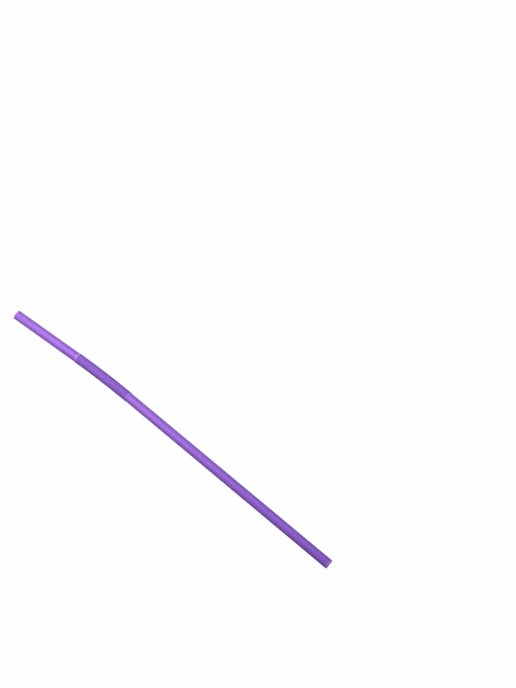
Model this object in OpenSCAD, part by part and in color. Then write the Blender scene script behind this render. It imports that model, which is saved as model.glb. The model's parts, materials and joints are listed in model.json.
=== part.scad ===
// A flexible drinking straw: one drawn plastic tube, bellows pushed together, lying at rest with a slight bend.

/* [Tube] */
// Outside diameter of the plain tube
tube_d = 6; // [5:0.1:8]
// Thickness of the drawn wall, the same in the tube and in its folds
wall = 0.16; // [0.12:0.01:0.2]
// Length of the plain tube that stands in the drink
foot_len = 158; // [80:1:220]
// Length of the plain tube on the mouth side
mouth_len = 48.5; // [20:0.5:90]

/* [Bellows] */
// Number of folds
fold_count = 37; // [8:1:60]
// Distance from one fold to the next, with the bellows pushed together
fold_pitch = 1.11; // [0.9:0.01:1.4]
// Outside diameter over the crests of the folds
crest_d = 6.4; // [6.2:0.1:8.4]
// Radial depth of a fold, from mid-wall at its crest to mid-wall at its root
fold_depth = 0.57; // [0.45:0.01:0.65]
// Slope of both flanks of a fold to the straw's axis, in degrees
flank_angle = 62; // [42:1:66]
// Clear slot between the two flanks of a fold
flank_gap = 0.06; // [0.03:0.01:0.12]
// Width of the flat inside a crest's lip
lip_flat = 0.03; // [0.02:0.01:0.1]
// Slope of the shoulder between the last crest and the tube on the mouth side, in degrees
shoulder_angle = 30; // [20:1:60]

/* [Bend] */
// Angle that each joint between two folds is bent by, in degrees
joint_turn = 0.1146; // [0.05:0.0001:0.25]

/* [Hidden] */
$fn = 96;

// Mid-wall radii of the plain tube, the crests and the roots
tube_mid = (tube_d - wall) / 2;
crest_mid = (crest_d - wall) / 2;
root_mid = crest_mid - fold_depth;

// A root turns the wall back on itself in three equal steps, so its two chords are this long
root_turn = 60;
root_chord = (wall + flank_gap) / (2 * sin(root_turn));

// A lip turns the wall from the short flank to the crest in two equal steps, with one chord between them
lip_turn = (180 - flank_angle) / 2;
lip_chord = lip_flat + wall * tan(lip_turn / 2);

// Length of the flat band on a crest, which is what the folded flanks leave of the pitch
band_len = fold_pitch - (wall + flank_gap + lip_chord * cos(flank_angle / 2)) / sin(flank_angle);

// How far a root reaches past the lip above it, and the place on the band where one fold is joined to the next
root_x = band_len + fold_depth / tan(flank_angle) - fold_pitch;
root_reach = root_x + (wall + flank_gap) * sin(flank_angle) + wall / 2 / cos(root_turn / 2);
joint_x = (root_reach + band_len) / 2;

// The joints together turn the mouth end through this angle
bend_angle = joint_turn * fold_count;

// Wall drawn past each joint, which the plane of the joint trims off
joint_spare = 0.04;

// Where each turned wall closes on itself, as an angle from straight below, clear of the planes of symmetry
seam_turn = 22.5;

// Centre of the mouth end in the plane of the bend, seen from the first joint with the foot tube along X
shoulder_len = band_len - joint_x + (crest_mid - tube_mid) / tan(shoulder_angle);
mouth_reach = shoulder_len + mouth_len;
tip_x = mouth_reach * cos(bend_angle) + fold_pitch * turns_sum(fold_count - 1, 0);
tip_y = mouth_reach * sin(bend_angle) + fold_pitch * turns_sum(fold_count - 1, 90);

// Corners of the box around the lying straw, from the first joint
foot_x = foot_len + (tube_mid - root_mid) / tan(flank_angle) - root_x + joint_x;
low_x = -foot_x;
high_x = tip_x + tube_d / 2 * sin(bend_angle);
low_y = -crest_d / 2;
high_y = tip_y + tube_d / 2 * cos(bend_angle);

// Sum of the cosines of the folds' directions, or of their sines with late = 90
function turns_sum(count, late) = count < 1 ? 0
    : cos(count * joint_turn - late) + turns_sum(count - 1, late);

function toward(angle) = [cos(angle), sin(angle)];
function unit(v) = v / norm(v);
function left_of(v) = [-v[1], v[0]];
function reversed(list) = [for (i = [len(list) - 1 : -1 : 0]) list[i]];

// Points at one side of a path, mitred at its corners
function beside(path, side) = [
    for (i = [0 : len(path) - 1])
        let (
            into = unit(path[max(i, 1)] - path[max(i, 1) - 1]),
            out = unit(path[min(i, len(path) - 2) + 1] - path[min(i, len(path) - 2)]),
            mitre = left_of(into) + left_of(out)
        )
        path[i] + mitre * 2 * side / (mitre * mitre)
];

// The folded stretch of mid-wall from the bottom of a long flank to the lip at the origin of x
function fold_path() =
    let (
        long_flank_end = [root_x, root_mid],
        root_middle = long_flank_end + root_chord * toward(root_turn - flank_angle),
        short_flank_start = root_middle + root_chord * toward(2 * root_turn - flank_angle),
        band_start = [0, crest_mid],
        short_flank_end = band_start - lip_chord * toward(lip_turn)
    )
    [long_flank_end, root_middle, short_flank_start, short_flank_end, band_start];

function moved(path, x) = [for (p = path) p + [x, 0]];

// Wall of the straw around X, from its mid-wall path of points (place on the axis, radius)
module turned_wall(path) {
    outline = concat(beside(path, wall / 2), reversed(beside(path, -wall / 2)));
    rotate([seam_turn, 0, 0])
        rotate([0, 90, 0])
            rotate_extrude()
                polygon([for (p = outline) [p[1], p[0]]]);
}

// Half space beyond a joint at x, which is tilted so that two neighbours meet on one plane
module beyond_joint(x, direction) {
    translate([x, 0, 0])
        rotate([0, 0, direction * joint_turn / 2])
            translate([direction * crest_d, 0, 0])
                cube(2 * crest_d, center = true);
}

// The children in the frame of a joint, counted from the foot, with every joint before it bent
module at_joint(count) {
    rotate([0, 0, joint_turn])
        if (count > 0) translate([fold_pitch, 0, 0]) at_joint(count - 1) children();
        else children();
}

// Plain tube that stands in the drink, with its end tucked under the first crest
module foot_tube() {
    path = concat(
        [[-foot_x, tube_mid], [-foot_x + foot_len, tube_mid]],
        moved(fold_path(), -joint_x),
        [[joint_spare, crest_mid]]
    );
    difference() {
        turned_wall(path);
        beyond_joint(0, 1);
    }
}

// One fold, from the joint on a crest's band to the joint on the next
module fold() {
    path = concat(
        [[-joint_spare, crest_mid], [band_len - joint_x, crest_mid]],
        moved(fold_path(), fold_pitch - joint_x),
        [[fold_pitch + joint_spare, crest_mid]]
    );
    difference() {
        turned_wall(path);
        beyond_joint(0, -1);
        beyond_joint(fold_pitch, 1);
    }
}

// Plain tube at the mouth, with the shoulder that steps up to the last crest
module mouth_tube() {
    path = [
        [-joint_spare, crest_mid],
        [band_len - joint_x, crest_mid],
        [shoulder_len, tube_mid],
        [mouth_reach, tube_mid]
    ];
    difference() {
        turned_wall(path);
        beyond_joint(0, -1);
    }
}

module drinking_straw() {
    color("mediumpurple")
        translate([-(low_x + high_x) / 2, -(low_y + high_y) / 2, crest_d / 2]) {
            foot_tube();
            for (i = [0 : fold_count - 2]) at_joint(i) fold();
            at_joint(fold_count - 1) mouth_tube();
        }
}

drinking_straw();
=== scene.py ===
import json
import math

import bmesh
import bpy
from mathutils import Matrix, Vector


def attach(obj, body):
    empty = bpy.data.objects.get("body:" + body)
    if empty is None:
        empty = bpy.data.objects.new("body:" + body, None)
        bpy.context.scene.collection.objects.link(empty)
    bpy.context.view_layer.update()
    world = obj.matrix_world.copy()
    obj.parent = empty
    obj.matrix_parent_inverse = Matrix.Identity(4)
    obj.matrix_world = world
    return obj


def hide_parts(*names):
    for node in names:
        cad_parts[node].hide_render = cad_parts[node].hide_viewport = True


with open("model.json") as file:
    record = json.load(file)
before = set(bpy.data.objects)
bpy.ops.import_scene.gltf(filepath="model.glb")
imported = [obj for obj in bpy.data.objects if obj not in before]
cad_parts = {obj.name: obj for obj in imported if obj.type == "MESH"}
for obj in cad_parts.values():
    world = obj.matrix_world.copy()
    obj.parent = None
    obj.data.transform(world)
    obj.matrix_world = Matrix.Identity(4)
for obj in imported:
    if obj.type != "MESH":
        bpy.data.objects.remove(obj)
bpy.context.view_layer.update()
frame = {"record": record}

mounts = {mount["name"]: mount for mount in frame["record"]["mounts"]}

# Sizes of the straw in millimetres. The tube's come from its mounts, the folds' are those of the solid.
TUBE_R = mounts["foot_outside"]["dims"]["r_mm"]
WALL = TUBE_R - mounts["foot_bore"]["dims"]["r_mm"]
FOOT_LEN = mounts["foot_bore"]["dims"]["length_mm"]
MOUTH_LEN = mounts["mouth_bore"]["dims"]["length_mm"]
CREST_R = 3.2
FOLD_COUNT = 37
FOLD_PITCH = 1.11
FOLD_DEPTH = 0.57
FLANK_GAP = 0.06
LIP_FLAT = 0.03
FLANK_ANGLE = math.radians(62)
SHOULDER_ANGLE = math.radians(30)
JOINT_TURN = math.radians(0.1146)
METRES = 0.001

# Mid-wall radii, and how a fold lies along the axis: its lip at 0, the band, the root tucked under the lip.
TUBE_MID = TUBE_R - WALL / 2
CREST_MID = CREST_R - WALL / 2
ROOT_MID = CREST_MID - FOLD_DEPTH
ROOT_TURN = math.radians(60)
ROOT_CHORD = (WALL + FLANK_GAP) / (2 * math.sin(ROOT_TURN))
LIP_TURN = (math.pi - FLANK_ANGLE) / 2
LIP_CHORD = LIP_FLAT + WALL * math.tan(LIP_TURN / 2)
BAND_LEN = FOLD_PITCH - (WALL + FLANK_GAP + LIP_CHORD * math.cos(FLANK_ANGLE / 2)) / math.sin(FLANK_ANGLE)
ROOT_X = BAND_LEN + FOLD_DEPTH / math.tan(FLANK_ANGLE) - FOLD_PITCH
ROOT_REACH = ROOT_X + (WALL + FLANK_GAP) * math.sin(FLANK_ANGLE) + WALL / 2 / math.cos(ROOT_TURN / 2)
JOINT_X = (ROOT_REACH + BAND_LEN) / 2

# Places along the straw, from its first joint, before it is bent.
TUCK_X = ROOT_X - JOINT_X - (TUBE_MID - ROOT_MID) / math.tan(FLANK_ANGLE)
FOOT_X = TUCK_X - FOOT_LEN
FIRST_LIP_X = -JOINT_X
LAST_BAND_X = (FOLD_COUNT - 1) * FOLD_PITCH - JOINT_X + BAND_LEN
SHOULDER_X = LAST_BAND_X + (CREST_MID - TUBE_MID) / math.tan(SHOULDER_ANGLE)
MOUTH_X = SHOULDER_X + MOUTH_LEN

# Finish of the mesh, with lengths in millimetres. Roots and lips are rounded over nearly half of each chord.
SIDES = 52
ROUND_STEPS = 2
CHORD_SHARE = 0.49
BEND_ROUND = 0.06
RIM_ROUND = 0.035
RIM_ANGLE = math.radians(65)
SEAM_MERGE = 0.002
SMOOTH_BELOW = math.radians(38)

# Pattern sizes of the plastic in millimetres. Die lines are about 0.1 mm apart on the real tube, and are
# drawn wider apart so that they show.
STREAK_LEN = 30
STREAK_WIDE = 1.2
DIE_LINE_LEN = 60
DIE_LINE_GAP = 0.4
DIE_LINE_RELIEF = 0.03
BELLOWS_EDGE = 0.1

# Painted light and marks of folding: depths under a crest's mid-wall between which the flanks' painted
# light sets in, distances from a lip over which its whitish line fades, how strong both are, and how much
# rougher the bellows is.
FLANK_TOP = 0.01
FLANK_LOW = 0.12
FLANK_PAINTED_LIGHT = 0.85
CREASE_CORE = 0.022
CREASE_WIDE = 0.12
CREASE_WHITE = 0.1
BELLOWS_ROUGHER = 0.3

# Width of the faint clouds in the floor board in millimetres, and the size of the floor in metres.
CLOUD_WIDE = 333
FLOOR_WIDE = 16
SURROUND_HIGH = 6

# Sockets of a Mix node for colours, whose names repeat.
MIX_SHARE = 0
MIX_FIRST = 6
MIX_SECOND = 7
MIX_RESULT = 2


def deselect_everything():
    bpy.ops.object.select_all(action="DESELECT")


def corner(place, turned):
    """A point of the profile and how the wall is turned there: root, lip, bend, or end where it stops."""
    return Vector(place), turned


def toward(angle):
    return Vector((math.cos(angle), math.sin(angle)))


def fold_corners(lip_x):
    """The folded wall from the bottom of a long flank, round the root and up to the lip at lip_x."""
    long_flank_end = Vector((lip_x + ROOT_X, ROOT_MID))
    root_middle = long_flank_end + ROOT_CHORD * toward(ROOT_TURN - FLANK_ANGLE)
    short_flank_start = root_middle + ROOT_CHORD * toward(2 * ROOT_TURN - FLANK_ANGLE)
    band_start = Vector((lip_x, CREST_MID))
    short_flank_end = band_start - LIP_CHORD * toward(LIP_TURN)
    return [
        corner(long_flank_end, "root"),
        corner(root_middle, "root"),
        corner(short_flank_start, "root"),
        corner(short_flank_end, "lip"),
        corner(band_start, "lip"),
        corner((lip_x + BAND_LEN, CREST_MID), "bend"),
    ]


def straw_profile():
    """The wall's middle line from the foot end to the mouth end, as places on the axis and radii."""
    profile = [corner((FOOT_X, TUBE_MID), "end"), corner((TUCK_X, TUBE_MID), "bend")]
    for fold in range(FOLD_COUNT):
        profile += fold_corners(FIRST_LIP_X + fold * FOLD_PITCH)
    profile += [corner((SHOULDER_X, TUBE_MID), "bend"), corner((MOUTH_X, TUBE_MID), "end")]
    return profile


def select_vertices(piece, wanted):
    """In edit mode, selects the vertices for whose place wanted answers yes."""
    shape = bmesh.from_edit_mesh(piece.data)
    for vertex in shape.verts:
        vertex.select = wanted(vertex.co)
    shape.select_flush_mode()
    bmesh.update_edit_mesh(piece.data)


def to_microns(x, radius):
    """A place on the profile to a thousandth of a millimetre, by which its corner is found again."""
    return round(x, 3), round(radius, 3)


def round_corners(piece, places, reach):
    """Rounds the profile at the given corners, each over a stretch of that reach to both sides."""
    kept = {to_microns(place.x, place.y) for place in places}
    select_vertices(piece, lambda co: to_microns(co.x, co.z) in kept)
    bpy.ops.mesh.bevel(offset=reach, segments=ROUND_STEPS, affect="VERTICES", clamp_overlap=False)


def draw_straw():
    """The straw in millimetres around X, straight, as a skin with no thickness."""
    profile = straw_profile()
    deselect_everything()
    bpy.ops.mesh.primitive_plane_add(size=1)
    straw = bpy.context.object
    straw.name = "flexible_straw"
    bpy.ops.object.mode_set(mode="EDIT")
    bpy.ops.mesh.select_mode(type="VERT")
    bpy.ops.mesh.merge(type="CENTER")
    first = profile[0][0]
    bpy.ops.transform.translate(value=(first.x, 0, first.y))
    for (here, _), (there, _) in zip(profile, profile[1:]):
        step = there - here
        bpy.ops.mesh.extrude_region_move(TRANSFORM_OT_translate={"value": (step.x, 0, step.y)})
    round_corners(straw, [p for p, turned in profile if turned == "root"], ROOT_CHORD * CHORD_SHARE)
    round_corners(straw, [p for p, turned in profile if turned == "lip"], LIP_CHORD * CHORD_SHARE)
    round_corners(straw, [p for p, turned in profile if turned == "bend"], BEND_ROUND)
    bpy.ops.mesh.select_all(action="SELECT")
    bpy.ops.mesh.spin(steps=SIDES, angle=math.tau, center=(0, 0, 0), axis=(1, 0, 0))
    bpy.ops.mesh.select_all(action="SELECT")
    bpy.ops.mesh.remove_doubles(threshold=SEAM_MERGE)
    bpy.ops.mesh.normals_make_consistent(inside=False)
    bpy.ops.object.mode_set(mode="OBJECT")
    return straw


def keep_drawn_places(straw):
    """Notes on every point where it lay on the straight tube, which the material's patterns follow."""
    drawn = straw.data.attributes.new("drawn", "FLOAT_VECTOR", "POINT")
    for vertex, note in zip(straw.data.vertices, drawn.data):
        note.vector = vertex.co


def bend_straw(straw):
    """Turns all that lies beyond each joint by the joint's angle, the last joint first."""
    bpy.ops.object.mode_set(mode="EDIT")
    for joint in reversed(range(FOLD_COUNT)):
        joint_x = joint * FOLD_PITCH
        select_vertices(straw, lambda co: co.x > joint_x)
        # With no window this operator turns the other way, so the angle is given as a negative one
        bpy.ops.transform.rotate(value=-JOINT_TURN, orient_axis="Z", center_override=(joint_x, 0, 0))
    bpy.ops.object.mode_set(mode="OBJECT")


def thicken_wall(straw):
    """Gives the skin its wall, half to each side, and takes the sharpness off the two cut rims."""
    wall = straw.modifiers.new("wall", "SOLIDIFY")
    wall.thickness = WALL
    wall.offset = 0
    wall.use_even_offset = True
    bpy.ops.object.modifier_apply(modifier=wall.name)
    rims = straw.modifiers.new("rims", "BEVEL")
    rims.limit_method = "ANGLE"
    rims.angle_limit = RIM_ANGLE
    rims.width = RIM_ROUND
    rims.segments = ROUND_STEPS
    bpy.ops.object.modifier_apply(modifier=rims.name)


def lay_straw(straw):
    """Puts the straw where the solid lies, in metres, with its place in its mesh."""
    foot = Vector(mounts["foot_outside"]["pos_m"])
    bpy.ops.transform.resize(value=(METRES, METRES, METRES), center_override=(0, 0, 0))
    bpy.ops.transform.translate(value=foot - Vector((FOOT_X * METRES, 0, 0)))
    bpy.ops.object.transform_apply(location=True, rotation=True, scale=True)
    bpy.ops.object.shade_smooth_by_angle(angle=SMOOTH_BELOW)


def linear(code):
    """An sRGB hex colour as the linear values that a shader takes."""
    shares = [int(code[i:i + 2], 16) / 255 for i in (1, 3, 5)]
    return [s / 12.92 if s <= 0.04045 else ((s + 0.055) / 1.055) ** 2.4 for s in shares] + [1]


def add(tree, kind, settings=None, links=None):
    """Adds a node, sets its properties and sockets, and links other nodes' outputs into its sockets.

    A socket goes by its name or by its number, since on some nodes the names repeat.
    """
    node = tree.nodes.new(kind)
    for name, value in (settings or {}).items():
        if isinstance(name, int) or name in node.inputs:
            node.inputs[name].default_value = value
        else:
            setattr(node, name, value)
    for name, source in (links or {}).items():
        tree.links.new(source, node.inputs[name])
    return node


def empty_material(name):
    material = bpy.data.materials.new(name)
    material.use_nodes = True
    material.node_tree.nodes.clear()
    return material, material.node_tree


def drawn_polypropylene():
    """Dyed polypropylene, drawn through a ring die and cut hot.

    The thin wall lets light through, so the plain tube is a milky violet, and the bellows, where the wall
    lies in three layers, is deeper. The surface is satin with faint die lines along the tube. Where the
    wall was folded hard, on the lips and the shoulder, the plastic has turned whitish. The flanks in the
    folds are painted lighter, as painted light that comes through the thin lips, and pale rings are painted
    highlights at the first lip, the shoulder and the foot end, with a paler band at the mouth end.
    """
    material, tree = empty_material("drawn_polypropylene_violet")
    drawn = add(tree, "ShaderNodeAttribute", {"attribute_name": "drawn"}).outputs["Vector"]
    along = add(tree, "ShaderNodeSeparateXYZ", links={0: drawn}).outputs["X"]

    # Streaks of pigment along the tube
    streak_scale = (1 / STREAK_LEN, 1 / STREAK_WIDE, 1 / STREAK_WIDE)
    streak_place = add(tree, "ShaderNodeVectorMath", {"operation": "MULTIPLY", 1: streak_scale}, {0: drawn})
    streaks = add(tree, "ShaderNodeTexNoise", {"Scale": 1, "Detail": 2}, {"Vector": streak_place.outputs[0]})
    dye = add(
        tree,
        "ShaderNodeMix",
        {"data_type": "RGBA", MIX_FIRST: linear("#764DB6"), MIX_SECOND: linear("#7E55BE")},
        {MIX_SHARE: streaks.outputs[0]},
    )

    # The bellows, from its first lip to the shoulder
    rise = add(
        tree,
        "ShaderNodeMapRange",
        {"From Min": FIRST_LIP_X - BELLOWS_EDGE / 2, "From Max": FIRST_LIP_X + BELLOWS_EDGE / 2},
        {"Value": along},
    )
    fall = add(
        tree,
        "ShaderNodeMapRange",
        {"From Min": LAST_BAND_X, "From Max": LAST_BAND_X + BELLOWS_EDGE, "To Min": 1, "To Max": 0},
        {"Value": along},
    )
    folded = add(tree, "ShaderNodeMath", {"operation": "MULTIPLY"}, {0: rise.outputs[0], 1: fall.outputs[0]})
    depth = add(
        tree,
        "ShaderNodeMix",
        {"data_type": "RGBA", MIX_SECOND: linear("#724BB2")},
        {MIX_SHARE: folded.outputs[0], MIX_FIRST: dye.outputs[MIX_RESULT]},
    )

    # The flanks between the crests, painted lighter: painted light standing in for the light that comes
    # through the thin lips over them
    spread = add(tree, "ShaderNodeVectorMath", {"operation": "MULTIPLY", 1: (0, 1, 1)}, {0: drawn})
    radius = add(tree, "ShaderNodeVectorMath", {"operation": "LENGTH"}, {0: spread.outputs[0]})
    below_crest = add(
        tree,
        "ShaderNodeMapRange",
        {
            "From Min": CREST_MID - FLANK_LOW,
            "From Max": CREST_MID - FLANK_TOP,
            "To Min": FLANK_PAINTED_LIGHT,
            "To Max": 0,
        },
        {"Value": radius.outputs["Value"]},
    )
    flank = add(
        tree,
        "ShaderNodeMath",
        {"operation": "MULTIPLY"},
        {0: below_crest.outputs[0], 1: folded.outputs[0]},
    )
    painted_flank_light = add(
        tree,
        "ShaderNodeMix",
        {"data_type": "RGBA", MIX_SECOND: linear("#9A70E3")},
        {MIX_SHARE: flank.outputs[0], MIX_FIRST: depth.outputs[MIX_RESULT]},
    )

    # Whitish lines where each lip is folded, by how far a point lies from the nearest lip in pitches
    past_lip = add(tree, "ShaderNodeMath", {"operation": "SUBTRACT", 1: FIRST_LIP_X}, {0: along})
    pitches = add(tree, "ShaderNodeMath", {"operation": "DIVIDE", 1: FOLD_PITCH}, {0: past_lip.outputs[0]})
    from_lip = add(tree, "ShaderNodeMath", {"operation": "PINGPONG", 1: 0.5}, {0: pitches.outputs[0]})
    near_lip = add(
        tree,
        "ShaderNodeMapRange",
        {
            "From Min": CREASE_CORE / FOLD_PITCH,
            "From Max": CREASE_WIDE / FOLD_PITCH,
            "To Min": CREASE_WHITE,
            "To Max": 0,
        },
        {"Value": from_lip.outputs[0]},
    )
    crease = add(
        tree,
        "ShaderNodeMath",
        {"operation": "MULTIPLY"},
        {0: near_lip.outputs[0], 1: folded.outputs[0]},
    )
    colour = add(
        tree,
        "ShaderNodeMix",
        {"data_type": "RGBA", MIX_SECOND: linear("#C9B2F2")},
        {MIX_SHARE: crease.outputs[0], MIX_FIRST: painted_flank_light.outputs[MIX_RESULT]},
    )

    # Pale rings: painted highlights at the first lip and by the foot end, a painted highlight together with
    # whitening of the stretched wall at the shoulder, and a paler band at the mouth end
    for place, half_width, strength in (
        (FIRST_LIP_X + 0.1, 0.3, 0.3),
        (SHOULDER_X - 0.15, 0.4, 0.4),
        (FOOT_X + 1.0, 0.35, 0.35),
        (MOUTH_X, 0.7, 0.35),
    ):
        past_ring = add(tree, "ShaderNodeMath", {"operation": "SUBTRACT", 1: place}, {0: along})
        from_ring = add(tree, "ShaderNodeMath", {"operation": "ABSOLUTE"}, {0: past_ring.outputs[0]})
        ring = add(
            tree,
            "ShaderNodeMapRange",
            {"From Min": half_width / 4, "From Max": half_width, "To Min": strength, "To Max": 0},
            {"Value": from_ring.outputs[0]},
        )
        colour = add(
            tree,
            "ShaderNodeMix",
            {"data_type": "RGBA", MIX_SECOND: linear("#CDB6F4")},
            {MIX_SHARE: ring.outputs[0], MIX_FIRST: colour.outputs[MIX_RESULT]},
        )

    # Die lines, in the relief and in the gloss, and the bellows rougher than the tube
    line_scale = (1 / DIE_LINE_LEN, 1 / DIE_LINE_GAP, 1 / DIE_LINE_GAP)
    line_place = add(tree, "ShaderNodeVectorMath", {"operation": "MULTIPLY", 1: line_scale}, {0: drawn})
    lines = add(tree, "ShaderNodeTexNoise", {"Scale": 1, "Detail": 3}, {"Vector": line_place.outputs[0]})
    relief = add(
        tree,
        "ShaderNodeBump",
        {"Strength": 0.35, "Distance": DIE_LINE_RELIEF * METRES},
        {"Height": lines.outputs[0]},
    )
    satin = add(
        tree,
        "ShaderNodeMapRange",
        {"From Min": 0.3, "From Max": 0.7, "To Min": 0.42, "To Max": 0.5},
        {"Value": lines.outputs[0]},
    )
    roughness = add(
        tree,
        "ShaderNodeMath",
        {"operation": "MULTIPLY_ADD", 1: BELLOWS_ROUGHER},
        {0: folded.outputs[0], 2: satin.outputs[0]},
    )

    plastic = add(
        tree,
        "ShaderNodeBsdfPrincipled",
        {"IOR": 1.49, "Specular IOR Level": 0.5, "Specular Tint": linear("#C9A6D8")},
        {
            "Base Color": colour.outputs[MIX_RESULT],
            "Roughness": roughness.outputs[0],
            "Normal": relief.outputs[0],
        },
    )
    add(tree, "ShaderNodeOutputMaterial", links={"Surface": plastic.outputs[0]})
    return material


def frosted_white_board():
    """Frosted white board of a light table: it shines evenly, with no gloss and only very faint clouds."""
    material, tree = empty_material("frosted_white_board")
    place = add(tree, "ShaderNodeTexCoord").outputs["Object"]
    cloud_scale = 1 / (CLOUD_WIDE * METRES)
    clouds = add(tree, "ShaderNodeTexNoise", {"Scale": cloud_scale, "Detail": 2}, {"Vector": place})
    tone = add(
        tree,
        "ShaderNodeMix",
        {"data_type": "RGBA", MIX_FIRST: linear("#FDFDFD"), MIX_SECOND: linear("#FFFFFF")},
        {MIX_SHARE: clouds.outputs[0]},
    )
    board = add(
        tree,
        "ShaderNodeBsdfPrincipled",
        {"Base Color": linear("#000000"), "Specular IOR Level": 0, "Emission Strength": 1},
        {"Emission Color": tone.outputs[MIX_RESULT]},
    )
    add(tree, "ShaderNodeOutputMaterial", links={"Surface": board.outputs[0]})
    return material


def build_straw():
    straw = draw_straw()
    keep_drawn_places(straw)
    bend_straw(straw)
    thicken_wall(straw)
    lay_straw(straw)
    straw.data.materials.append(drawn_polypropylene())
    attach(straw, "root")
    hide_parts("drinking_straw")


def build_floor():
    """A wide floor with walls far off. It shows to the camera only, and throws no light on the straw."""
    deselect_everything()
    bpy.ops.mesh.primitive_plane_add(size=FLOOR_WIDE)
    floor = bpy.context.object
    floor.name = "floor"
    bpy.ops.object.mode_set(mode="EDIT")
    bpy.ops.mesh.select_mode(type="EDGE")
    bpy.ops.mesh.select_all(action="SELECT")
    bpy.ops.mesh.region_to_loop()
    bpy.ops.mesh.extrude_region_move(TRANSFORM_OT_translate={"value": (0, 0, SURROUND_HIGH)})
    bpy.ops.object.mode_set(mode="OBJECT")
    floor.data.materials.append(frosted_white_board())
    floor.visible_diffuse = False
    floor.visible_glossy = False
    floor.visible_shadow = False


def hang_softbox(name, location, target, size, energy, tint):
    """A square area light that faces its target, with places and size in metres and energy in watts."""
    bpy.ops.object.light_add(type="AREA", location=location)
    softbox = bpy.context.object
    softbox.name = name
    softbox.data.shape = "SQUARE"
    softbox.data.size = size
    softbox.data.energy = energy
    softbox.data.color = linear(tint)[:3]
    softbox.rotation_euler = (Vector(target) - Vector(location)).to_track_quat("-Z", "Y").to_euler()


def light_studio():
    """An even, slightly cool room, a warm key and fill over the mouth end, and a cool light by the foot."""
    room = bpy.data.worlds.new("pale_room")
    room.use_nodes = True
    room.node_tree.nodes["Background"].inputs["Color"].default_value = linear("#F2F2FF")
    room.node_tree.nodes["Background"].inputs["Strength"].default_value = 0.23
    bpy.context.scene.world = room
    mouth_end = (0.12, 0, 0)
    foot_end = (-0.12, 0, 0)
    hang_softbox("key_softbox", (0.24, 0.03, 0.42), mouth_end, size=0.3, energy=2.6, tint="#FFFFE0")
    hang_softbox("foot_softbox", (-0.17, -0.2, 0.45), foot_end, size=0.2, energy=1.0, tint="#EEEEFF")
    hang_softbox("mouth_fill", (0.2, 0.02, 0.2), mouth_end, size=0.4, energy=0.45, tint="#FFFFE0")


def place_camera():
    """The photograph's view: nearly from above, with the mouth end up on the left."""
    yaw = math.radians(140.131)
    elevation = math.radians(72.944)
    target = Vector((-0.004236, -0.080399, 0))
    distance = 0.694025
    image_height = 688
    focal_pixels = 1108.8
    sensor_width = 36
    forward = Vector((
        math.sin(yaw) * math.cos(elevation),
        math.cos(yaw) * math.cos(elevation),
        -math.sin(elevation),
    ))
    bpy.ops.object.camera_add(location=target - distance * forward)
    camera = bpy.context.object
    camera.rotation_euler = forward.to_track_quat("-Z", "Y").to_euler()
    camera.data.sensor_width = sensor_width
    camera.data.lens = sensor_width * focal_pixels / image_height
    camera.data.clip_start = 0.01
    bpy.context.scene.camera = camera


place_camera()
build_straw()
build_floor()
light_studio()
bpy.context.scene.view_settings.view_transform = "Standard"
